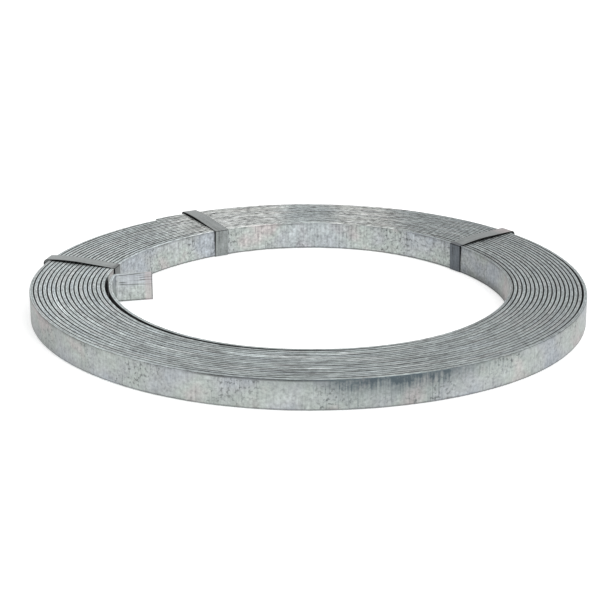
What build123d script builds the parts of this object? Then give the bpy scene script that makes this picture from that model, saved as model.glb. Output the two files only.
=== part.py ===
from build123d import *
import math
import os

# A flat coil of galvanised grounding strip, lying on its side and held by three steel straps.
# Millimetres and degrees. +Z is up, the floor is z = 0 and the winding's axis is x = y = 0.
# Angles are seen from above, from +X at the right towards +Y at the back.

# The strip, a flat bar with crowned edges
strip_width = 30.0
strip_thickness = 4.0
edge_crown = 1.4

# The winding: turns laid round each other, with a gap that shows at both ends as a groove
bore_radius = 207.5
turn_gap = 0.65
layer_count = 18
outer_end_angle = 128.0

# The innermost turn, loose over the front half, with its end bent into the eye
loose_gap = 3.0
loose_overrun_angle = 3.2
tail_bend_angle = 72.0
tail_bend_radius = 5.0
tail_length = 36.0

# The packing straps, thin bands round the ring's section
strap_width = 16.0
strap_thickness = 0.5
strap_clearance = 0.2
strap_slack_bend = 8.0
strap_lap_margin = 3.0
left_strap_angle = 166.0
back_left_strap_angle = 119.0
back_right_strap_angle = 38.0

# The ring lies on the straps' undersides
pitch = strip_thickness + turn_gap
coil_bottom = strap_thickness
coil_top = coil_bottom + strip_width
middle_height = coil_bottom + strip_width / 2
tight_count = layer_count - 1

# The spiral is drawn as half circles from two centres half a pitch apart,
# so that each half turn at the back runs on into the next one at the front
back_centre = Vector(-pitch / 4, 0, 0)
front_centre = Vector(pitch / 4, 0, 0)


def back_wall(layer):
    """Radius of a turn's inner face in the back half."""
    return bore_radius + layer * pitch


def turns_section(first_radius, count):
    """Section of the turns side by side: each edge rises to its crown, and falls to the gap beside it."""
    groove_depth = edge_crown * pitch / strip_thickness
    ridges = []
    for turn in range(count):
        crown_radius = first_radius + turn * pitch + strip_thickness / 2
        ridges.append((crown_radius, 0))
        if turn < count - 1:
            ridges.append((crown_radius + pitch / 2, groove_depth))
    last_radius = first_radius + (count - 1) * pitch + strip_thickness
    ends = [(first_radius, edge_crown), *ridges, (last_radius, edge_crown)]
    upper = [(radius, coil_top - depth) for radius, depth in ends]
    lower = [(radius, coil_bottom + depth) for radius, depth in reversed(ends)]
    return make_face(Polyline(*upper, *lower, close=True))


def half_ring(first_radius, centre, direction):
    """Half a ring of tight turns about an upright axis, from the right round to the left."""
    section = turns_section(first_radius, tight_count)
    plane = Plane(origin=centre, x_dir=(1, 0, 0), z_dir=(0, -1, 0))
    return revolve(plane * section, Axis(centre, (0, 0, direction)), 180)


def strip_section(plane):
    """The strip's own section on a plane whose normal runs along the strip."""
    half_face = strip_width / 2 - edge_crown
    half_thickness = strip_thickness / 2
    outline = Polyline(
        (-half_thickness, -half_face),
        (0, -strip_width / 2),
        (half_thickness, -half_face),
        (half_thickness, half_face),
        (0, strip_width / 2),
        (-half_thickness, half_face),
        close=True,
    )
    return plane * make_face(outline)


def strip_coil():
    """One length of strip: the tight turns, the outer end, the loose inner half turn and its bent tail."""
    back = half_ring(bore_radius, back_centre, 1)
    front = half_ring(bore_radius + pitch / 2, front_centre, -1)
    return back + [front, outer_end(), loose_turn()]


def outer_end():
    """The last stretch of the strip, which runs from the right on round the back to the cut end."""
    start = back_centre + Vector(back_wall(tight_count) + strip_thickness / 2, 0, middle_height)
    section = strip_section(Plane(origin=start, x_dir=(1, 0, 0), z_dir=(0, -1, 0)))
    return revolve(section, Axis(back_centre, (0, 0, 1)), outer_end_angle)


def loose_turn():
    """The innermost half turn, which leaves the wall at the right and ends in the tail at the left."""
    radius = bore_radius - loose_gap / 2
    centre = back_centre + Vector((strip_thickness + loose_gap) / 2, 0, 0)
    start = centre + Vector(radius, 0, middle_height)
    section = strip_section(Plane(origin=start, x_dir=(1, 0, 0), z_dir=(0, -1, 0)))
    half_turn = revolve(section, Axis(centre, (0, 0, -1)), 180 + loose_overrun_angle)

    heading = 90 - loose_overrun_angle
    end = centre + Vector(-radius, 0, middle_height).rotate(Axis.Z, -loose_overrun_angle)
    right_side = Vector(1, 0, 0).rotate(Axis.Z, heading - 90)
    bend_centre = end + right_side * (tail_bend_radius + strip_thickness / 2)
    along = Vector(1, 0, 0).rotate(Axis.Z, heading)
    bend = revolve(
        strip_section(Plane(origin=end, x_dir=right_side, z_dir=along)),
        Axis(bend_centre, (0, 0, -1)),
        tail_bend_angle,
    )

    outward = (end - bend_centre).rotate(Axis.Z, -tail_bend_angle)
    tail_along = along.rotate(Axis.Z, -tail_bend_angle)
    tail_plane = Plane(origin=bend_centre + outward, x_dir=outward, z_dir=tail_along)
    tail = extrude(strip_section(tail_plane), tail_length)
    return half_turn + bend + tail


def touch_point(point, centre, radius, turn):
    """Where a straight run from a point touches a circle, on the side that the turn's sign gives."""
    reach = point - centre
    swing = math.degrees(math.acos(radius / reach.length))
    return centre + reach.normalized().rotate(Axis.Z, math.copysign(swing, turn)) * radius


def strap(angle):
    """A band pulled tight round the inner edges, slack over the outer top edge and lapped on the outer wall."""
    layers_under = layer_count if angle < outer_end_angle else tight_count
    outer_wall = back_wall(layers_under) - turn_gap
    inner = math.sqrt(bore_radius**2 - (strap_width / 2) ** 2) - strap_clearance
    inner_foot = Vector(inner, coil_bottom)
    inner_head = Vector(inner, coil_top)
    outer_foot = Vector(outer_wall + strap_clearance, coil_bottom)

    # The slack bend passes just outside the ring's outer top edge
    standoff = (strap_slack_bend - strap_clearance) * math.sqrt(0.5)
    bend_centre = Vector(outer_wall - standoff, coil_top - standoff)
    bend_start = touch_point(inner_head, bend_centre, strap_slack_bend, -1)
    bend_end = touch_point(outer_foot, bend_centre, strap_slack_bend, 1)
    shoulder = RadiusArc(bend_start, bend_end, strap_slack_bend)
    runs = Polyline(bend_end, outer_foot, inner_foot, inner_head, bend_start)
    inside = make_face([shoulder, runs])
    tight_corners = inside.vertices().sort_by_distance(bend_centre)[2:]
    inside = fillet(tight_corners, edge_crown)
    band = offset(inside, strap_thickness) - inside

    # The lap of the band's two ends lies on the straight outer run
    along = (bend_end - outer_foot).normalized()
    outward = Vector(along.Y, -along.X) * strap_thickness
    lap_foot = outer_foot + along * strap_lap_margin + outward
    lap_head = bend_end - along * strap_lap_margin + outward
    band += make_face(Polyline(lap_foot, lap_head, lap_head + outward, lap_foot + outward, close=True))

    radial = Vector(1, 0, 0).rotate(Axis.Z, angle)
    across = radial.cross(Vector(0, 0, 1))
    plane = Plane(origin=back_centre, x_dir=radial, z_dir=across)
    return extrude(plane * band, strap_width / 2, both=True)


os.makedirs("parts", exist_ok=True)
export_step(strip_coil(), "parts/strip_coil.step")
export_step(strap(left_strap_angle), "parts/strap_left.step")
export_step(strap(back_left_strap_angle), "parts/strap_back_left.step")
export_step(strap(back_right_strap_angle), "parts/strap_back_right.step")
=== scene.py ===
import math
import random
from collections import namedtuple

import bmesh
import bpy
import numpy as np
from bpy.props import FloatProperty, FloatVectorProperty, IntProperty, PointerProperty
from mathutils import Matrix, Vector


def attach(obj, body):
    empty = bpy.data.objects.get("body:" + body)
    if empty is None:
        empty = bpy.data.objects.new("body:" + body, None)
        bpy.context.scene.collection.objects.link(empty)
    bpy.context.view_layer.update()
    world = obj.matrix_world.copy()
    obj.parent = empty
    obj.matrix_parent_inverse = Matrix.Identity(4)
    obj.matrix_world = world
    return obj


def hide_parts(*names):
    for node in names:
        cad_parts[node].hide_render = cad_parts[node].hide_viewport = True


bl_info = {
    "name": "Grounding Strip Coil",
    "version": (1, 0, 0),
    "blender": (4, 5, 0),
    "location": "View3D > Sidebar > Strip Coil",
    "description": "A lying coil of galvanised grounding strip with three steel packing straps",
    "category": "Object",
}

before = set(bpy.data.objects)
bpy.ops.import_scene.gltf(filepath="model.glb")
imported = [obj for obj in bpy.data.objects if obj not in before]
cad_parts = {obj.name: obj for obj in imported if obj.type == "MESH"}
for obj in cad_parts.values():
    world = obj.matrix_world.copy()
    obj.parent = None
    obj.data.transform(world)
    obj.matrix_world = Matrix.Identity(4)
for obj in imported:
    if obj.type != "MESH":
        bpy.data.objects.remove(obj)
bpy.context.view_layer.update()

MM = 0.001
BODY = "root"
STRAPS = ("strap_left", "strap_back_left", "strap_back_right")

# Names of the UV maps and of the attribute that the materials read
STRIP_UV = "strip_run"
STRAP_UV = "strap_run"
BURIED = "buried"

# How finely the strip's path is drawn
SAMPLES_PER_TURN = 720
BEND_SAMPLES = 25
TAIL_SAMPLES = 16

# How the turns waver along the winding: waves for each radian, and the gain of their mean
WAVER_RATES = (0.43, 0.91, 1.57, 2.39, 3.63)
WAVER_GAIN = 1.6
SWAY_SEED = 11
RISE_SEED = 23

# Angles in radians: how far the slack under the last turn reaches from the right,
# and how far the loose turn and its bend cover the wall past the left
SLACK_REACH = 0.55
BEND_REACH = 0.08

# Places on the ring in metres, each as the two values between which a mask goes from 0 to 1
BORE_RADIUS = (0.222, 0.226)
LOOSE_TURN_RADIUS = (0.2160, 0.2170)
OUTER_RADIUS = (0.2790, 0.2810)
HALF_RING = (0.0, 0.1)
MIDDLE_X = 0.01

# Places on the strip's UV map in metres: where the tail ends, and the middle of the upper edge
TAIL_RUN = (0.033, 0.038)
EDGE_MIDDLE = 0.017

# Upward part of the normal, from an upright surface to a level one
LEVEL_SLOPE = (0.5, 0.85)


def millimetres(name, description, value):
    """A length that the panel shows in scene units."""
    return FloatProperty(
        name=name, description=description, default=value * MM, min=0.0, soft_max=1.0, unit="LENGTH"
    )


def lengths(name, description, values):
    """A row of lengths: at even angles round the ring, or one for each strap in the order of STRAPS."""
    return FloatVectorProperty(
        name=name, description=description, default=[value * MM for value in values], min=0.0,
        size=len(values), unit="LENGTH",
    )


def degrees(name, description, value):
    """An angle that is written in degrees here and kept in radians."""
    return FloatProperty(name=name, description=description, default=math.radians(value), subtype="ANGLE")


def strap_degrees(name, description, values):
    """An angle of each strap, in the order of STRAPS."""
    return FloatVectorProperty(
        name=name, description=description, default=[math.radians(value) for value in values],
        size=len(values), unit="ROTATION",
    )


def colour(name, description, value):
    """A linear colour."""
    return FloatVectorProperty(
        name=name, description=description, default=value, min=0.0, max=1.0, size=3, subtype="COLOR"
    )


def amount(name, description, value):
    """A share from 0 to 1."""
    return FloatProperty(
        name=name, description=description, default=value, min=0.0, max=1.0, subtype="FACTOR"
    )


def point(name, description, value):
    """A point in the scene."""
    return FloatVectorProperty(
        name=name, description=description, default=value, size=3, subtype="TRANSLATION", unit="LENGTH"
    )


class StripSizes(bpy.types.PropertyGroup):
    """The strip and the way it is wound."""

    width: millimetres("Width", "The strip's width, upright in the lying coil", 30.0)
    thickness: millimetres("Thickness", "The strip's thickness", 4.0)
    edge_radius: millimetres("Edge radius", "Rounding of the strip's four long edges", 0.8)
    end_chamfer: millimetres("End chamfer", "Small chamfer round the sheared ends", 0.25)
    bottom: millimetres("Bottom", "Height of the lowest turn's underside, on the straps", 0.5)
    turns: IntProperty(name="Tight turns", description="Full turns from the right to the right", default=17)
    outer_end: degrees("Outer end", "Angle at which the outer end is cut, seen from above", 128.0)
    bore: lengths(
        "Bore", "Radius of the tight bore round the ring, less its climb",
        (209.4, 205.4, 206.75, 206.5, 201.6, 201.2, 206.7, 205.9, 208.8, 209.75, 211.85, 211.7),
    )
    gap: lengths(
        "Gap", "Gap between the turns round the ring",
        (0.335, 0.43, 0.405, 0.46, 0.59, 0.675, 0.59, 0.465, 0.29, 0.345, 0.385, 0.475),
    )
    loose: millimetres("Loose", "Extra gap behind the innermost half turn, near its end", 2.95)
    loose_start: degrees("Loose start", "Where the inner half turn starts to stand off, past the right", 60.0)
    loose_full: degrees("Loose full", "Where it stands off by the whole gap, past the right", 165.0)
    slack_right: millimetres("Slack right", "Extra gap under the outermost turn at the right", 0.9)
    overrun: degrees("Overrun", "How far the loose half turn runs past the left", 3.2)
    bend_angle: degrees("Bend", "Angle of the bend before the tail", 72.0)
    bend_radius: millimetres("Bend radius", "Radius of the bend at the strip's middle", 7.0)
    tail: millimetres("Tail", "Length of the straight tail", 35.0)
    sway: millimetres("Sway", "How far a turn wanders from its even gap", 0.10)
    rise: millimetres("Rise", "How far a turn's edge stands above its neighbours", 0.25)
    step: millimetres("Step", "Length of one facet along the strip", 8.0)


class StrapSizes(bpy.types.PropertyGroup):
    """The packing straps."""

    width: millimetres("Width", "The band's width", 16.0)
    thickness: millimetres("Thickness", "The band's thickness", 0.5)
    clearance: millimetres("Clearance", "Room between the band and the strip", 0.45)
    foot_gap: millimetres("Foot gap", "Gap between the band and the bore's wall at its foot", 0.6)
    tight_bend: millimetres("Tight bend", "Run that a tight corner takes from each side", 1.0)
    slack_bend: millimetres("Slack bend", "Run that the slack corner takes from each side", 6.5)
    crown_bend: millimetres("Crown bend", "Run that the slack top's bend takes from each side", 16.25)
    shoulder: millimetres("Shoulder", "How far the slack corner stands off the outer wall", 7.5)
    crown: millimetres("Crown", "How far the slack top stands above the turns", 3.0)
    lap: millimetres("Lap", "Overlap of the band's two ends on the outer wall", 18.0)
    angle: strap_degrees("Angle", "Place of each strap, seen from above", (166.35, 118.7, 37.5))
    slant: strap_degrees("Slant", "Slant of each strap's top run", (8.0, 0.0, -3.5))
    head_gap: lengths("Head gap", "Gap between each band's top and the bore's wall", (0.6, 2.6, 1.6))
    droop: lengths("Droop", "How far each slack corner lies below the slack top", (2.7, 2.0, 2.0))
    bulge: FloatVectorProperty(
        name="Bulge", description="Place of each slack top between the inner and the outer wall",
        default=(0.70, 0.74, 0.36), min=0.0, max=1.0, size=len(STRAPS),
    )


class CoilColours(bpy.types.PropertyGroup):
    """Colours of the zinc, of the straps and of the floor."""

    zinc: colour("Zinc", "Plain dull zinc", (0.385, 0.405, 0.41))
    zinc_blue: colour("Blue zinc", "Bluish patches", (0.362, 0.39, 0.418))
    zinc_green: colour("Green zinc", "Greenish patches", (0.385, 0.42, 0.40))
    zinc_warm: colour("Warm zinc", "Pale warm patches", (0.44, 0.415, 0.41))
    zinc_edge: colour("Edge zinc", "Bluish grey of the strip's edges", (0.364, 0.405, 0.408))
    zinc_cream: colour("Cream zinc", "Pale bare edges at the back", (0.397, 0.407, 0.392))
    stain: colour("Stain", "Blue dark stain near the outer edge", (0.078, 0.10, 0.113))
    speck: colour("Speck", "Dark specks and marks", (0.13, 0.14, 0.14))
    pale: colour("Pale zinc", "Bright bluish runs on the tail", (0.53, 0.56, 0.62))
    rosy: colour("Rosy zinc", "Rosy marks at the tail's tip and on a strap's end", (0.50, 0.44, 0.44))
    groove: colour("Groove", "Dust and shade between the turns", (0.012, 0.014, 0.014))
    strap: colour("Strap", "Grey strap steel", (0.26, 0.28, 0.277))
    # A darker steel for the right strap's inner run.
    strap_dark: colour("Blued strap", "Blued strap steel", (0.105, 0.118, 0.132))
    floor: colour("Floor", "Pale floor", (0.95, 0.95, 0.95))
    floor_glow: colour("Floor glow", "What the floor adds where it is seen", (0.4, 0.4, 0.4))


class ZincWear(bpy.types.PropertyGroup):
    """How strongly the zinc is marked, and how strong its painted highlights and painted shade are."""

    streaks: amount("Streaks", "Dark streaks across the strip", 0.6)
    specks: amount("Specks", "Dark specks beside the streaks", 0.7)
    # Glints are painted highlights, and corners are painted shade along the strip's corners.
    glints: amount("Glints", "Pale glints along some turns at the front", 0.7)
    corners: amount("Corners", "Dark worn lines along the strip's corners", 0.6)
    stain_rim: amount("Stain at the rim", "Blue stain along the outer wall's upper rim", 0.42)
    stain_runs: amount("Stain runs", "Blue stain that runs down the outer wall", 0.52)
    stain_heart: amount("Stain heart", "Darkest part of the blue stain", 0.21)
    # The dust amounts darken the grooves with dust and painted shade together.
    dust: amount("Dust", "Dust that every groove between the turns has", 0.72)
    dust_patches: amount("Dust patches", "Dust that only some stretches have on top", 0.26)
    strap_shade: amount("Strap shade", "Dust and shade under the straps", 0.9)
    metal: amount("Metal", "How metallic the clean zinc is", 0.85)
    roughness: amount("Roughness", "Roughness of the clean zinc", 0.42)
    bump: amount("Bump", "Strength of the fine relief", 0.3)


class StageSettings(bpy.types.PropertyGroup):
    """Camera and light."""

    camera_place: point("Camera", "The camera's place", (0.0043, -1.805, 0.6245))
    camera_aim: point("Aim", "The point that the camera looks at", (0.0013, 0.0, -0.001))
    lens: FloatProperty(name="Lens", description="Focal length in millimetres", default=106.6)
    sensor: FloatProperty(name="Sensor", description="Sensor width in millimetres", default=36.0)
    front_place: point("Front lamp", "The front lamp's place", (1.5, -2.1, 1.5))
    front_aim: point("Front aim", "The point that the front lamp looks at", (0.0, 0.0, 0.0))
    front_size: FloatProperty(
        name="Front size", description="Side of the front lamp", default=1.6, unit="LENGTH"
    )
    front_power: FloatProperty(name="Front power", description="Power of the front lamp", default=34.0)
    top_place: point("Top lamp", "The top lamp's place", (0.0, 0.5, 3.6))
    top_aim: point("Top aim", "The point that the top lamp looks at", (0.0, 0.5, 0.0))
    top_size: FloatProperty(name="Top size", description="Side of the top lamp", default=5.0, unit="LENGTH")
    top_power: FloatProperty(name="Top power", description="Power of the top lamp", default=40.0)
    world_level: FloatProperty(name="World", description="Strength of the studio's light", default=0.6)
    floor_size: FloatProperty(name="Floor", description="Half the floor's side", default=12.0, unit="LENGTH")


class Winding:
    """The strip's middle line in plan, from the tip of the tail to the outer end."""

    def __init__(self, sizes):
        self.sizes = sizes
        self.pitch_right = sizes.thickness + sizes.gap[0]
        start = -math.pi - sizes.overrun
        end = math.tau * sizes.turns + sizes.outer_end
        count = int((end - start) / math.tau * SAMPLES_PER_TURN) + 1
        self.angle = np.linspace(start, end, count)
        self.radius = self.middle_radius(self.angle)
        spiral = self.radius[:, None] * np.stack([np.cos(self.angle), np.sin(self.angle)], axis=1)
        self.points = np.concatenate([self.tail_and_bend(spiral), spiral])
        steps = np.linalg.norm(np.diff(self.points, axis=0), axis=1)
        self.run = np.concatenate([[0.0], np.cumsum(steps)])
        self.length = float(self.run[-1])
        along = np.gradient(self.points, self.run, axis=0)
        along /= np.linalg.norm(along, axis=1)[:, None]
        self.outward = np.stack([along[:, 1], -along[:, 0]], axis=1)

    def round_shape(self, angle, values):
        """A smooth value round the ring that passes through values at even angles."""
        waves = np.fft.rfft(values) / len(values)
        shape = waves[0].real + waves[-1].real * np.cos((len(waves) - 1) * angle)
        for order, wave in enumerate(waves[1:-1], start=1):
            shape = shape + 2 * (wave.real * np.cos(order * angle) - wave.imag * np.sin(order * angle))
        return shape

    def middle_radius(self, angle):
        """Distance of the strip's middle line from the axis at a winding angle."""
        sizes = self.sizes
        turn = np.floor(angle / math.tau)
        place = angle - turn * math.tau
        bore = self.round_shape(place, sizes.bore)
        gap = self.round_shape(place, sizes.gap)
        climb = self.pitch_right * place / math.tau
        free = np.clip((-angle - sizes.loose_start) / (sizes.loose_full - sizes.loose_start), 0, 1)
        loose = sizes.loose * np.sin(free * math.pi / 2)
        past_last = angle - math.tau * sizes.turns
        slack = sizes.slack_right * np.exp(-((past_last / SLACK_REACH) ** 2))
        inner_face = bore + climb + turn * (sizes.thickness + gap) - loose + slack
        return inner_face + sizes.thickness / 2 + sizes.sway * self.waver(angle, SWAY_SEED)

    def waver(self, angle, seed):
        """A slow seeded waver along the winding, mostly from -1 to 1."""
        draw = random.Random(seed)
        waves = [np.sin(rate * angle + draw.uniform(0, math.tau)) for rate in WAVER_RATES]
        return sum(waves) / len(waves) * WAVER_GAIN

    def tail_and_bend(self, spiral):
        """Points from the tip of the tail to the start of the loose half turn."""
        sizes = self.sizes
        first = spiral[0]
        heading = math.atan2(*(spiral[1] - first)[::-1])
        turned = heading - np.linspace(sizes.bend_angle, 0, BEND_SAMPLES)
        left_side = np.array([-math.sin(heading), math.cos(heading)])
        centre = first + left_side * sizes.bend_radius
        bend = centre + sizes.bend_radius * np.stack([np.sin(turned), -np.cos(turned)], axis=1)
        along = np.array([math.cos(turned[0]), math.sin(turned[0])])
        reach = np.linspace(sizes.tail, 0, TAIL_SAMPLES)[:-1]
        tail = bend[0] - reach[:, None] * along
        return np.concatenate([tail, bend[:-1]])

    def place(self, run, across, height):
        """Where a point of the straight strip lies once it is wound."""
        middle = [np.interp(run, self.run, self.points[:, axis]) for axis in range(2)]
        outward = [np.interp(run, self.run, self.outward[:, axis]) for axis in range(2)]
        x, y = (start + across * direction for start, direction in zip(middle, outward))
        angle = run / self.sizes.bore[0]
        rise = self.sizes.rise * (0.5 + 0.5 * np.clip(self.waver(angle, RISE_SEED), -1, 1))
        return Vector((x, y, height + self.sizes.bottom + self.sizes.width / 2 + rise))

    def wall(self, angle, turn):
        """Radius of the strip's middle line at an angle on one turn."""
        return float(np.interp(angle + turn * math.tau, self.angle, self.radius))

    def run_at(self, angle):
        """Length of strip from the tail's tip to a winding angle."""
        spiral_start = len(self.run) - len(self.angle)
        return self.run[spiral_start + np.searchsorted(self.angle, angle)]


StrapLine = namedtuple("StrapLine", "node angle slant inner outer tight_outer half_width")


def strap_lines(scene, winding):
    """Where each strap lies: its angle, its slant, and the radii of the walls that it goes round."""
    strip = scene.strip_sizes
    sizes = scene.strap_sizes
    lines = []
    for node, angle, slant in zip(STRAPS, sizes.angle, sizes.slant):
        last_turn = strip.turns if angle < strip.outer_end else strip.turns - 1
        inner = winding.wall(angle, 0) - strip.thickness / 2
        outer = winding.wall(angle, last_turn) + strip.thickness / 2
        tight_outer = winding.wall(angle, strip.turns - 1) + strip.thickness / 2
        lines.append(StrapLine(node, angle, slant, inner, outer, tight_outer, sizes.width / 2))
    return lines


def finish_mesh(bm, name, nodes, material):
    """Makes the piece, smooth over its small roundings, and ties it to the frame."""
    bmesh.ops.recalc_face_normals(bm, faces=bm.faces)
    for face in bm.faces:
        face.smooth = True
    mesh = bpy.data.meshes.new(name)
    bm.to_mesh(mesh)
    bm.free()
    mesh.materials.append(material)
    piece = bpy.data.objects.new(name, mesh)
    bpy.context.scene.collection.objects.link(piece)
    flat_sides = piece.modifiers.new("flat sides", "WEIGHTED_NORMAL")
    flat_sides.mode = "FACE_AREA"
    flat_sides.weight = 80
    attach(piece, BODY)
    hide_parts(*nodes)


def long_edges(bm):
    """The edges that run along X."""
    return [edge for edge in bm.edges if abs((edge.verts[1].co - edge.verts[0].co).normalized().x) > 0.99]


def straight_strip(sizes, length):
    """The flat bar before winding: rounded long edges, chamfered ends and short facets."""
    bm = bmesh.new()
    bmesh.ops.create_cube(bm, size=1.0)
    bmesh.ops.scale(bm, vec=(length, sizes.thickness, sizes.width), verts=bm.verts)
    bmesh.ops.translate(bm, vec=(length / 2, 0, 0), verts=bm.verts)
    bmesh.ops.bevel(
        bm, geom=long_edges(bm), offset=sizes.edge_radius, offset_type="OFFSET", segments=3,
        profile=0.5, affect="EDGES", material=-1,
    )
    ends = [edge for edge in bm.edges if edge not in set(long_edges(bm))]
    bmesh.ops.bevel(
        bm, geom=ends, offset=sizes.end_chamfer, offset_type="OFFSET", segments=1,
        profile=0.5, affect="EDGES", material=-1,
    )
    bmesh.ops.subdivide_edges(bm, edges=long_edges(bm), cuts=int(length / sizes.step), use_grid_fill=True)
    bend_end = sizes.tail + sizes.bend_radius * sizes.bend_angle + sizes.step
    near_bend = [edge for edge in long_edges(bm) if sizes.tail - sizes.step < edge.verts[0].co.x < bend_end]
    bmesh.ops.subdivide_edges(bm, edges=near_bend, cuts=5, use_grid_fill=True)
    return bm


def unroll_strip(bm, sizes):
    """Lays the UV map out flat: U along the strip, V round its section, both in metres."""
    layer = bm.loops.layers.uv.new(STRIP_UV)
    half_width = sizes.width / 2
    half_thickness = sizes.thickness / 2
    for face in bm.faces:
        normal = face.normal
        for loop in face.loops:
            run, across, height = loop.vert.co
            if abs(normal.z) > abs(normal.y):
                lead = math.copysign(half_width, normal.z)
                around = lead + math.copysign(half_thickness - across, normal.z)
            elif normal.y > 0:
                around = height
            else:
                around = sizes.width + sizes.thickness - height
            loop[layer].uv = (run, around)


def mark_buried_sides(bm, sizes, winding):
    """Marks the flat sides that lie against another turn, where no light and much dust gets in."""
    layer = bm.verts.layers.float.new(BURIED)
    first_free = winding.run_at(math.pi - BEND_REACH)
    last_free = winding.run_at(winding.angle[-1] - math.tau)
    # The mark grows from 0 to 1 over half the depth of each edge's rounding
    mark_start = sizes.thickness / 2 - 0.85 * sizes.edge_radius
    mark_length = 0.5 * sizes.edge_radius
    for vert in bm.verts:
        run, across, _ = vert.co
        covered = sizes.tail < run < last_free - sizes.step if across > 0 else run > first_free + sizes.step
        vert[layer] = covered * min(max((abs(across) - mark_start) / mark_length, 0.0), 1.0)


class COIL_OT_wind_strip(bpy.types.Operator):
    """Wind the galvanised strip into its ring, with the loose inner turn and the bent tail"""

    bl_idname = "coil.wind_strip"
    bl_label = "Wind Strip"

    def execute(self, context):
        scene = context.scene
        sizes = scene.strip_sizes
        winding = Winding(sizes)
        bm = straight_strip(sizes, winding.length)
        bm.normal_update()
        unroll_strip(bm, sizes)
        mark_buried_sides(bm, sizes, winding)
        for vert in bm.verts:
            vert.co = winding.place(*vert.co)
        zinc = ZincFinish(scene.coil_colours, scene.zinc_wear)
        material = zinc.paint(strap_lines(scene, winding))
        finish_mesh(bm, "wound_strip", ["strip_coil"], material)
        return {"FINISHED"}


def strap_band(sizes, line, bottom, top, bulge, head_gap, droop):
    """A band bent round the ring's section, in the XZ plane, with its ends lapped on the outer wall."""
    half = sizes.thickness / 2
    inner_foot = line.inner - sizes.foot_gap - half
    inner_head = line.inner - head_gap - half
    outside = line.outer + sizes.clearance + half
    under = bottom - half
    low_top = top + half
    slack_top = top + sizes.crown
    lap_top = top - sizes.slack_bend + half
    lap_foot = lap_top - sizes.lap
    route = [
        (outside, lap_top),
        (outside, under),
        (inner_foot, under),
        (inner_head, low_top),
        (inner_head + bulge * (outside - inner_head), slack_top),
        (outside + sizes.shoulder, slack_top - droop),
        (outside + 1.5 * sizes.thickness, lap_foot),
    ]
    bm = bmesh.new()
    verts = [bm.verts.new((x, -sizes.width / 2, z)) for x, z in route]
    for first, second in zip(verts, verts[1:]):
        bm.edges.new((first, second))
    for corners, bend_run, segments in (
        (verts[1:4], sizes.tight_bend, 4),
        (verts[4:5], sizes.crown_bend, 6),
        (verts[5:6], sizes.slack_bend, 8),
    ):
        bmesh.ops.bevel(
            bm, geom=corners, offset=bend_run, offset_type="OFFSET", segments=segments,
            profile=0.5, affect="VERTICES", material=-1,
        )
    sweep = bmesh.ops.extrude_edge_only(bm, edges=bm.edges)
    moved = [item for item in sweep["geom"] if isinstance(item, bmesh.types.BMVert)]
    bmesh.ops.translate(bm, vec=(0, sizes.width, 0), verts=moved)
    bmesh.ops.recalc_face_normals(bm, faces=bm.faces)
    bmesh.ops.solidify(bm, geom=bm.faces[:], thickness=sizes.thickness)
    return bm


def unroll_strap(bm):
    """Lays the UV map out: U along the band, V across it, both in metres."""
    layer = bm.loops.layers.uv.new(STRAP_UV)
    for face in bm.faces:
        for loop in face.loops:
            loop[layer].uv = (loop.vert.co.x - loop.vert.co.z, loop.vert.co.y)


class COIL_OT_wrap_straps(bpy.types.Operator):
    """Wrap the three packing straps round the ring's section"""

    bl_idname = "coil.wrap_straps"
    bl_label = "Wrap Straps"

    def execute(self, context):
        scene = context.scene
        strip = scene.strip_sizes
        sizes = scene.strap_sizes
        material = strap_finish(scene.coil_colours)
        top = strip.bottom + strip.width + strip.rise
        lines = strap_lines(scene, Winding(strip))
        for line, bulge, head_gap, droop in zip(lines, sizes.bulge, sizes.head_gap, sizes.droop):
            bm = strap_band(sizes, line, strip.bottom, top, bulge, head_gap, droop)
            unroll_strap(bm)
            lean = Matrix.Identity(4)
            lean[1][0] = -math.tan(line.slant)
            lean[1][3] = math.tan(line.slant) * (line.inner + line.outer) / 2
            bmesh.ops.transform(bm, matrix=Matrix.Rotation(line.angle, 4, "Z") @ lean, verts=bm.verts)
            finish_mesh(bm, line.node.replace("strap", "steel_strap"), [line.node], material)
        return {"FINISHED"}


class Socket:
    """An output of a node. Sums and products with it add Math nodes."""

    def __init__(self, finish, socket):
        self.finish = finish
        self.socket = socket

    def math(self, operation, first, second=0.0):
        return self.finish.node("ShaderNodeMath", {"operation": operation}, {0: first, 1: second})

    def __add__(self, other):
        return self.math("ADD", self, other)

    def __sub__(self, other):
        return self.math("SUBTRACT", self, other)

    def __rsub__(self, other):
        return self.math("SUBTRACT", other, self)

    def __mul__(self, other):
        return self.math("MULTIPLY", self, other)

    def __pow__(self, other):
        return self.math("POWER", self, other)

    def __rpow__(self, other):
        return self.math("POWER", other, self)

    def __neg__(self):
        return self.math("MULTIPLY", self, -1.0)

    def __abs__(self):
        return self.math("ABSOLUTE", self)

    __radd__ = __add__
    __rmul__ = __mul__

    def swing(self, strength):
        """Noise from 0 to 1, turned into a swing about zero."""
        return (self - 0.5) * strength


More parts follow.
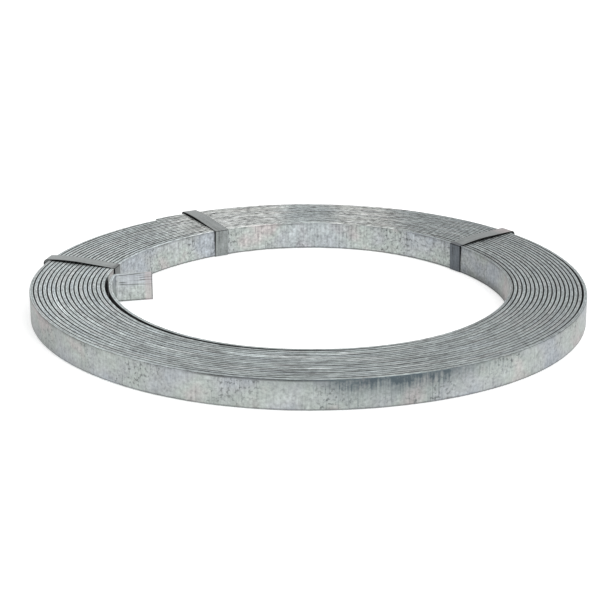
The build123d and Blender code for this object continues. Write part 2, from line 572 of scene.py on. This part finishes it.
class Finish:
    """One material or world and the nodes that make it."""

    def __init__(self, owner, shader="Principled BSDF"):
        self.owner = owner
        owner.use_nodes = True
        self.tree = owner.node_tree
        self.shader = self.tree.nodes[shader]

    def node(self, kind, settings=None, inputs=None, output=0):
        """Adds a node: its settings first, then the values or links of its sockets."""
        made = self.tree.nodes.new(kind)
        for key, value in (settings or {}).items():
            if key == "stops":
                self.set_stops(made.color_ramp, value)
            else:
                setattr(made, key, value)
        for key, value in (inputs or {}).items():
            self.feed(made.inputs[key], value)
        return Socket(self, made.outputs[output])

    def set_stops(self, ramp, stops):
        """Gives a colour ramp its stops."""
        while len(ramp.elements) < len(stops):
            ramp.elements.new(1.0)
        for element, (position, value) in zip(ramp.elements, stops):
            element.position = position
            element.color = opaque(value)

    def feed(self, socket, value):
        """Links a socket, or sets its value."""
        if isinstance(value, Socket):
            self.tree.links.new(value.socket, socket)
        else:
            socket.default_value = value

    def set_shader(self, **inputs):
        """Feeds the main shader's sockets, whose names are written with underscores."""
        for key, value in inputs.items():
            self.feed(self.shader.inputs[key.replace("_", " ")], value)

    def noise(self, vector, scale, detail=2.0, roughness=0.5):
        """Soft noise from 0 to 1."""
        return self.node(
            "ShaderNodeTexNoise", None,
            {"Vector": vector, "Scale": scale, "Detail": detail, "Roughness": roughness},
        )

    def drawn_noise(self, vector, scales, detail=2.0, roughness=0.5):
        """Noise with a scale of its own along each part of a vector."""
        stretched = self.node("ShaderNodeVectorMath", {"operation": "MULTIPLY"}, {0: vector, 1: scales})
        return self.noise(stretched, 1.0, detail, roughness)

    def between(self, value, low, high):
        """0 below low, 1 above high, and a smooth step between them."""
        return self.node(
            "ShaderNodeMapRange", {"interpolation_type": "SMOOTHSTEP"}, {0: value, 1: low, 2: high}
        )

    def span(self, value, rise, fall):
        """0, then 1, then 0 again, with a smooth step over each pair of values."""
        return self.between(value, *rise) * (1 - self.between(value, *fall))

    def mix(self, factor, first, second, blend="MIX"):
        """Mixes two colours."""
        return self.node(
            "ShaderNodeMix", {"data_type": "RGBA", "blend_type": blend}, {0: factor, 6: first, 7: second}, 2
        )

    def parts(self, vector):
        """The three parts of a vector."""
        return [self.node("ShaderNodeSeparateXYZ", None, {0: vector}, part) for part in range(3)]

    def place(self):
        """The three parts of a point's place in the scene, as every piece's origin is the scene's."""
        return self.parts(self.node("ShaderNodeTexCoord", None, None, "Object"))

    def normal_rise(self):
        """Upward part of the surface's normal."""
        return self.parts(self.node("ShaderNodeNewGeometry", None, None, "Normal"))[2]

    def seen(self):
        """1 for what is seen, straight, in gloss or through glass, and 0 for light on its way elsewhere."""
        rays = [
            self.node("ShaderNodeLightPath", None, None, name)
            for name in ("Is Camera Ray", "Is Glossy Ray", "Is Transmission Ray")
        ]
        return 1 - (1 - rays[0]) * (1 - rays[1]) * (1 - rays[2])


def opaque(value):
    """A colour with its alpha."""
    return (*value, 1.0)


class ZincFinish(Finish):
    """Dull hot-dip zinc: mottled walls with streaks across, and duller edges with dashes along the turns."""

    def __init__(self, colours, wear):
        super().__init__(bpy.data.materials.new("galvanised zinc"))
        self.colours = colours
        self.wear = wear
        self.run = self.node("ShaderNodeUVMap", {"uv_map": STRIP_UV})
        self.u, self.v, _ = self.parts(self.run)
        self.x, self.y, self.z = self.place()
        self.left = -self.x
        self.front = -self.y
        self.radius = (self.x * self.x + self.y * self.y) ** 0.5
        self.slope = abs(self.normal_rise())

        # Masks: the edges that show on the ring's ends, the upright walls, and parts of the ring
        self.edge = self.between(self.slope, *LEVEL_SLOPE)
        self.wall = 1 - self.edge
        self.bore = 1 - self.between(self.radius, *BORE_RADIUS)
        self.tail = 1 - self.between(self.u, *TAIL_RUN)
        self.sides = self.between(abs(self.x), 0.10, 0.26)
        self.front_half = self.between(self.front, *HALF_RING)
        self.back_half = self.between(self.y, *HALF_RING)
        self.outside = self.between(self.radius, *OUTER_RADIUS) * self.front_half
        self.right_front = self.between(self.x, 0.08, 0.16) * self.between(self.front, 0.06, 0.12)

        # Patterns from coarse to fine, and those drawn out across and along the strip
        self.cloud = self.noise(self.run, 30.0, 4.0, 0.6)
        self.mottle = self.noise(self.run, 130.0, 3.0, 0.65)
        self.flecks = self.noise(self.run, 330.0, 2.0, 0.6)
        cells = self.node("ShaderNodeTexVoronoi", None, {"Vector": self.run, "Scale": 160.0}, "Color")
        self.spangle = self.parts(cells)[0]
        self.across = self.drawn_noise(self.run, (480.0, 24.0, 1.0), 3.0, 0.6)
        self.dashes = self.drawn_noise(self.run, (140.0, 700.0, 1.0), 4.0, 0.65)

    def bare_edges(self):
        """Pale bare edges in two stretches at the back, left and right of the middle."""
        left_stretch = self.span(self.x, (-0.20, -0.12), (-0.045, -0.01))
        right_stretch = self.span(self.x, (0.015, 0.05), (0.08, 0.125))
        return (left_stretch + right_stretch * 1.15) * self.between(self.y, 0.12, 0.20)

    def wall_tone(self):
        """Brightness of the upright walls, whose pattern is stronger in the bore and on the tail, with
        painted light and shade.
        """
        tone = 1.025 + self.cloud.swing(0.5) + self.spangle.swing(0.15)
        tone = tone + self.mottle.swing(0.7 + self.bore * 0.35)
        tone = tone + self.across.swing(0.7 + self.bore * 0.5 + self.tail * 0.6)
        tone = tone + self.flecks.swing(0.9 + self.bore * 0.35)
        # Painted light: the bore's left and back walls are painted lighter.
        lit_left = self.between(self.left, 0.05, 0.15) * 0.09
        lit_back = self.between(self.y, 0.1, 0.18) * 0.05
        tone = tone * (1 + self.bore * (lit_left + lit_back))

        # Painted shade: the walls at the ring's far left and right, and the bore's right wall, are painted
        # darker.
        side_shade = self.between(abs(self.x), 0.19, 0.29) * (0.33 - self.between(self.x, 0.1, 0.2) * 0.18)
        inner_turn = 1 - self.between(self.radius, 0.215, 0.225)
        bore_shade = self.between(self.x, 0.12, 0.19) * inner_turn * 0.25
        # Painted contact shadow along the foot of every wall, deeper in the bore.
        foot = 1 - self.between(self.z, 0.0012, 0.0030)
        blotches = self.between(self.cloud + self.flecks.swing(0.8), 0.42, 0.60)
        brow = self.between(self.z, 0.0270, 0.0300) * blotches
        tone = tone * (1 - side_shade - bore_shade)
        return tone * (1 - foot * (0.42 + self.bore * 0.25)) * (1 - brow * 0.45)

    def land_level(self, bare, back):
        """How bright the edges are round the ring, before their own pattern."""
        level = 1 + self.sides * 0.2 + self.between(self.left, 0.0, 0.25) * 0.15
        level = level + back * (0.22 - self.between(self.x, -0.02, 0.10) * 0.35)
        level = level - self.between(self.x, 0.15, 0.25) * 0.22
        front_middle = (1 - self.between(abs(self.x - MIDDLE_X), 0.03, 0.10)) * self.front_half
        inner_turns = 1 - self.between(self.radius, 0.225, 0.26)
        dull_outer = self.between(self.radius, 0.279, 0.283) * self.between(self.left, 0.20, 0.25)
        dull_inner = (1 - self.between(self.radius, 0.214, 0.217)) * self.between(self.x, 0.12, 0.18)
        level = level + front_middle * (inner_turns * 0.12 - 0.04)
        return level + bare * 0.46 - (dull_outer + dull_inner) * 0.28

    def edge_tone(self, bare):
        """Brightness of the edges on the ring's ends: bands and dashes along the turns, and painted
        highlights on their rims.
        """
        back = self.back_half * (1 - self.sides)
        bands = self.drawn_noise(self.run, (20.0, 60.0, 1.0), 3.0, 0.6)
        tone = 0.90 + bands.swing(2.4 - self.sides * 1.6) + self.dashes.swing(2.6 + back * 2.4)
        rim_highlights = self.between(abs(self.v - EDGE_MIDDLE), 0.0003, 0.0010)
        tone = tone * self.land_level(bare, back) * (0.845 + rim_highlights * 0.33)

        # Painted highlights: pale glints on the rims of some stretches of the turns at the front left, not on
        # the loose inner turn.
        stretches = self.between(self.drawn_noise(self.run, (6.0, 0.0, 0.0)), 0.55, 0.62)
        front_left = self.between(self.front, 0.0, 0.08) * (1 - self.between(self.x, 0.03, 0.08))
        glints = stretches * rim_highlights * front_left * self.between(self.radius, 0.2165, 0.2175)
        return tone * (1 + glints * self.wear.glints) * (1 - self.right_front * 0.14)

    def tone(self, bare):
        """Brightness of the whole strip, with painted shade along its corners, low on the bore's right wall
        and under the outer rim.
        """
        tone = self.wall_tone() * self.wall + self.edge_tone(bare) * self.edge
        # Painted shade on the lower part of the bore's right wall.
        right_foot_shade = self.between(self.x, 0.155, 0.185) * (1 - self.between(self.z, 0.002, 0.013))
        tone = tone * (1 - self.bore * right_foot_shade * 0.45)
        # Painted shade along the strip's rounded corners, in stretches, weaker in the bore.
        corner = self.span(self.slope, (0.12, 0.4), (0.6, 0.95))
        shaded = self.between(self.drawn_noise(self.run, (16.0, 1.0, 1.0)), 0.32, 0.48)
        tone = tone * (1 - corner * shaded * (1 - self.bore * 0.8) * self.wear.corners)
        # Painted shade on the outer wall just below its rim, at the front.
        rim_shade = self.outside * self.span(self.x, (-0.12, -0.08), (0.02, 0.05))
        rim_shade = rim_shade * self.wall * self.between(self.z, 0.0275, 0.0296)
        return tone * (1 - rim_shade * 0.6)

    def tint(self, bare):
        """Slow changes of the zinc's colour, a bluish edge and a lilac stretch of the bore at the back."""
        colours = self.colours
        stops = [
            (0.35, colours.zinc_blue), (0.44, colours.zinc),
            (0.53, colours.zinc_green), (0.62, colours.zinc_warm),
        ]
        tint = self.node("ShaderNodeValToRGB", {"stops": stops}, {0: self.noise(self.run, 17.0)})
        edge_tint = self.mix(bare, opaque(colours.zinc_edge), opaque(colours.zinc_cream))
        tint = self.mix(self.edge * 0.75, tint, edge_tint)
        back_middle = (1 - self.between(abs(self.x - MIDDLE_X), 0.02, 0.05)) * self.back_half
        return self.mix(self.bore * self.wall * back_middle * 0.6, tint, opaque(colours.zinc_blue))

    def streaks_and_specks(self):
        """Dark streaks across the walls, and specks beside them."""
        clusters = self.between(self.drawn_noise(self.run, (20.0, 12.0, 1.0)), 0.40, 0.62) * self.wall
        streaks = self.between(self.across, 0.53, 0.66) * clusters
        specks = self.between(self.noise(self.run, 300.0, 1.5), 0.55, 0.65) * clusters
        return streaks, specks

    def stain(self):
        """Blue stain at the outer wall's front right: along its rim, in runs below, and a dark heart."""
        level = self.z + self.across.swing(0.026) + self.cloud.swing(0.018)
        rim = self.span(self.x, (-0.08, 0.03), (0.13, 0.24)) * self.between(level, 0.014, 0.029)
        runs = self.span(self.x, (0.0, 0.040), (0.11, 0.17)) * self.between(level, -0.006, 0.026)
        heart = self.span(self.x, (0.074, 0.084), (0.090, 0.102)) * self.between(level, 0.010, 0.022)
        wear = self.wear
        strength = rim * wear.stain_rim + runs * wear.stain_runs + heart * wear.stain_heart
        return self.outside * self.wall * strength * (0.95 + self.across.swing(0.7) + self.mottle.swing(1.6))

    def dust_and_shade(self):
        """Dust and painted shade between the turns, thicker at the right, at the back left and behind the
        loose turn.
        """
        patches = self.between(self.noise(self.run, 26.0, 3.0, 0.6), 0.34, 0.54)
        dust = self.wear.dust + patches * self.wear.dust_patches + self.sides * (1 - patches) * 0.25
        # The grooves at the right, at the back left and behind the loose turn are painted darker, as shade.
        right = self.between(self.x, 0.12, 0.22) * self.between(self.y, -0.11, -0.04)
        back_left = self.between(self.left, 0.08, 0.16) * self.between(self.y, 0.05, 0.15)
        loose_turn = 1 - self.between(self.radius, *LOOSE_TURN_RADIUS)
        behind_loose = loose_turn * self.between(self.front, 0.10, 0.15)
        behind_loose = behind_loose * self.span(self.x, (-0.09, -0.05), (0.02, 0.05))
        dust = dust * (1 + (right + back_left + behind_loose * 1.4) * 1.2) * (1 - self.right_front * 0.35)
        buried = self.node("ShaderNodeAttribute", {"attribute_name": BURIED}, None, "Fac")
        return self.between(buried * dust, 0.0, 1.0)

    def mark_tail(self, base):
        """Pale and dark lines along the tail's upper half, and a rosy tip that is darker at its very end."""
        lines = self.between(self.drawn_noise(self.run, (22.0, 620.0, 1.0)), 0.40, 0.60)
        upper_half = self.tail * self.span(self.v, (0.017, 0.019), (0.029, 0.036))
        base = self.mix(upper_half * (0.05 + lines * 0.42), base, opaque(self.colours.pale))
        dark_lines = self.between(1 - lines, 0.4, 1.0)
        base = self.mix(upper_half * dark_lines * 0.85, base, opaque(self.colours.speck))
        tip = self.tail * (1 - self.between(self.u, 0.006, 0.010))
        base = self.mix(tip * (0.2 + self.across * 0.6), base, opaque(self.colours.rosy))
        # The tip is darker at its very end.
        cut = self.tail * (1 - self.between(self.u, 0.0008, 0.0018))
        return self.mix(cut * 0.7, base, opaque(self.colours.speck))

    def shade_under(self, line):
        """1 on the turns under a strap and close beside it, where dust and shade gather."""
        outward = self.x * math.cos(line.angle) + self.y * math.sin(line.angle)
        aside = self.y * math.cos(line.angle) - self.x * math.sin(line.angle)
        aside = aside + (outward - (line.inner + line.tight_outer) / 2) * math.tan(line.slant)
        beside = self.between(abs(aside), line.half_width, line.half_width + 1.2 * MM)
        return self.between(outward, line.inner - 1.5 * MM, line.inner - 1.0 * MM) * (1 - beside)

    def paint(self, straps):
        """Joins the parts, feeds the shader and returns the material."""
        colours = self.colours
        wear = self.wear
        bare = self.bare_edges()
        streaks, specks = self.streaks_and_specks()
        dust_and_shade = self.dust_and_shade()
        base = self.mix(1.0, self.tint(bare), self.tone(bare), "MULTIPLY")
        base = self.mix(streaks * wear.streaks + specks * wear.specks, base, opaque(colours.speck))
        base = self.mix(self.stain(), base, opaque(colours.stain))
        base = self.mark_tail(base)
        # Dust and painted shade in the grooves between the turns.
        base = self.mix(dust_and_shade, base, opaque(colours.groove))
        for line in straps:
            base = self.mix(self.shade_under(line) * wear.strap_shade, base, opaque(colours.groove))

        grain = self.noise(self.run, 430.0, 3.0, 0.6)
        relief = grain * 0.6 + self.across * 0.5 + self.cloud + self.dashes * self.edge
        bump = self.node(
            "ShaderNodeBump", None, {"Strength": wear.bump, "Distance": 0.4 * MM, "Height": relief}
        )
        roughness = wear.roughness + self.cloud.swing(0.3) + self.spangle * 0.08 + streaks * 0.1 + dust_and_shade * 0.4
        self.set_shader(Base_Color=base, Roughness=roughness, Metallic=(1 - dust_and_shade) * wear.metal, Normal=bump)
        return self.owner


def strap_finish(colours):
    """Plain rolled strap steel with faint lines along the band, painted light on its top runs and painted
    shade on its edges and bends.
    """
    finish = Finish(bpy.data.materials.new("strap steel"))
    run = finish.node("ShaderNodeUVMap", {"uv_map": STRAP_UV})
    x, y, _ = finish.place()
    radius = (x * x + y * y) ** 0.5
    slope = finish.normal_rise()
    upper = finish.between(slope, *LEVEL_SLOPE)
    # Painted shade in the band's bends.
    fold_shade = finish.span(slope, (0.05, 0.25), (0.8, 0.98))
    inside = 1 - finish.between(radius, 0.2085, 0.2110)
    right = finish.between(x, 0.10, 0.12)
    back = finish.between(y, 0.12, 0.20)
    # Painted shade on the left strap's inner run.
    nook_shade = inside * finish.between(-x, 0.18, 0.19)

    lines = finish.drawn_noise(run, (14.0, 900.0, 1.0))
    cloud = finish.noise(run, 60.0, 3.0, 0.6)
    flecks = finish.noise(run, 420.0, 2.0, 0.6)
    # Painted light makes the top runs a little lighter; painted shade darkens the back straps' top runs, the
    # right one more, the bends and the left strap's inner run.
    tone = (1 + lines.swing(1.1) + cloud.swing(0.9) + flecks.swing(0.9)) * (0.92 + upper * 0.05)
    tone = tone * (1 - right * upper * 0.2) * (1 - back * upper * 0.12)
    tone = tone * (1 - fold_shade * 0.75) * (1 - nook_shade * 0.45)

    # The right strap's inner run takes the darker steel.
    base = finish.mix(inside * right, opaque(colours.strap), opaque(colours.strap_dark))
    rosy_end = finish.between(radius, 0.262, 0.282) * right * upper
    base = finish.mix(rosy_end * 0.75, base, opaque(colours.rosy))
    base = finish.mix(1.0, base, tone, "MULTIPLY")
    # Painted shade along the band's edges.
    edge_shade = finish.between(abs(finish.parts(run)[1]), 0.00765, 0.0079)
    base = finish.mix(edge_shade * 0.9, base, opaque(colours.groove))
    bump = finish.node(
        "ShaderNodeBump", None, {"Strength": 0.15, "Distance": 0.2 * MM, "Height": lines + cloud}
    )
    finish.set_shader(Base_Color=base, Roughness=0.38 + cloud.swing(0.25), Metallic=0.85, Normal=bump)
    return finish.owner


def floor_finish(colours):
    """A plain pale floor, a little brighter where it is seen than where it lights the object."""
    finish = Finish(bpy.data.materials.new("pale floor"))
    place = finish.node("ShaderNodeTexCoord", None, None, "Object")
    tone = 1 + finish.noise(place, 3.0).swing(0.01)
    glow = finish.mix(finish.seen(), (0.0, 0.0, 0.0, 1.0), opaque(colours.floor_glow))
    finish.set_shader(
        Base_Color=finish.mix(1.0, opaque(colours.floor), tone, "MULTIPLY"), Roughness=0.9,
        Emission_Color=glow, Emission_Strength=1.0,
    )
    return finish.owner


def studio_world(level):
    """A white studio that lights the object at a level of its own."""
    world = Finish(bpy.data.worlds.new("studio"), "Background")
    world.set_shader(Color=(1.0, 1.0, 1.0, 1.0), Strength=level + world.seen() * (1 - level))
    return world.owner


def look_at(item, place, aim):
    """Puts a lamp or a camera at a place, turned to a point, and adds it to the scene."""
    item.location = place
    item.rotation_euler = (Vector(aim) - Vector(place)).to_track_quat("-Z", "Y").to_euler()
    bpy.context.scene.collection.objects.link(item)


def area_light(name, place, aim, size, power):
    """A soft square lamp that looks at a point."""
    data = bpy.data.lights.new(name, "AREA")
    data.size = size
    data.energy = power
    look_at(bpy.data.objects.new(name, data), place, aim)


class COIL_OT_set_stage(bpy.types.Operator):
    """Set the pale floor, the soft light and the camera"""

    bl_idname = "coil.set_stage"
    bl_label = "Set Stage"

    def execute(self, context):
        scene = context.scene
        settings = scene.stage_settings
        bm = bmesh.new()
        bmesh.ops.create_grid(bm, x_segments=1, y_segments=1, size=settings.floor_size)
        mesh = bpy.data.meshes.new("floor")
        bm.to_mesh(mesh)
        bm.free()
        mesh.materials.append(floor_finish(scene.coil_colours))
        floor = bpy.data.objects.new("floor", mesh)
        scene.collection.objects.link(floor)

        area_light(
            "front lamp", settings.front_place, settings.front_aim, settings.front_size, settings.front_power
        )
        area_light("top lamp", settings.top_place, settings.top_aim, settings.top_size, settings.top_power)
        scene.world = studio_world(settings.world_level)

        data = bpy.data.cameras.new("camera")
        data.lens = settings.lens
        data.sensor_width = settings.sensor
        camera = bpy.data.objects.new("camera", data)
        look_at(camera, settings.camera_place, settings.camera_aim)
        scene.camera = camera
        scene.view_settings.view_transform = "Standard"
        return {"FINISHED"}


class COIL_PT_panel(bpy.types.Panel):
    """Sidebar panel with the steps that build the coil"""

    bl_idname = "COIL_PT_panel"
    bl_label = "Strip Coil"
    bl_space_type = "VIEW_3D"
    bl_region_type = "UI"
    bl_category = "Strip Coil"

    def draw(self, context):
        for operator in OPERATORS:
            self.layout.operator(operator.bl_idname)


OPERATORS = (COIL_OT_wind_strip, COIL_OT_wrap_straps, COIL_OT_set_stage)
SETTINGS = {
    "strip_sizes": StripSizes,
    "strap_sizes": StrapSizes,
    "coil_colours": CoilColours,
    "zinc_wear": ZincWear,
    "stage_settings": StageSettings,
}


def register():
    for settings in SETTINGS.values():
        bpy.utils.register_class(settings)
    for name, settings in SETTINGS.items():
        setattr(bpy.types.Scene, name, PointerProperty(type=settings))
    for kind in (*OPERATORS, COIL_PT_panel):
        bpy.utils.register_class(kind)


def unregister():
    for kind in (COIL_PT_panel, *reversed(OPERATORS)):
        bpy.utils.unregister_class(kind)
    for name in SETTINGS:
        delattr(bpy.types.Scene, name)
    for settings in SETTINGS.values():
        bpy.utils.unregister_class(settings)


def main():
    register()
    bpy.ops.coil.wind_strip()
    bpy.ops.coil.wrap_straps()
    bpy.ops.coil.set_stage()


if __name__ == "__main__":
    main()
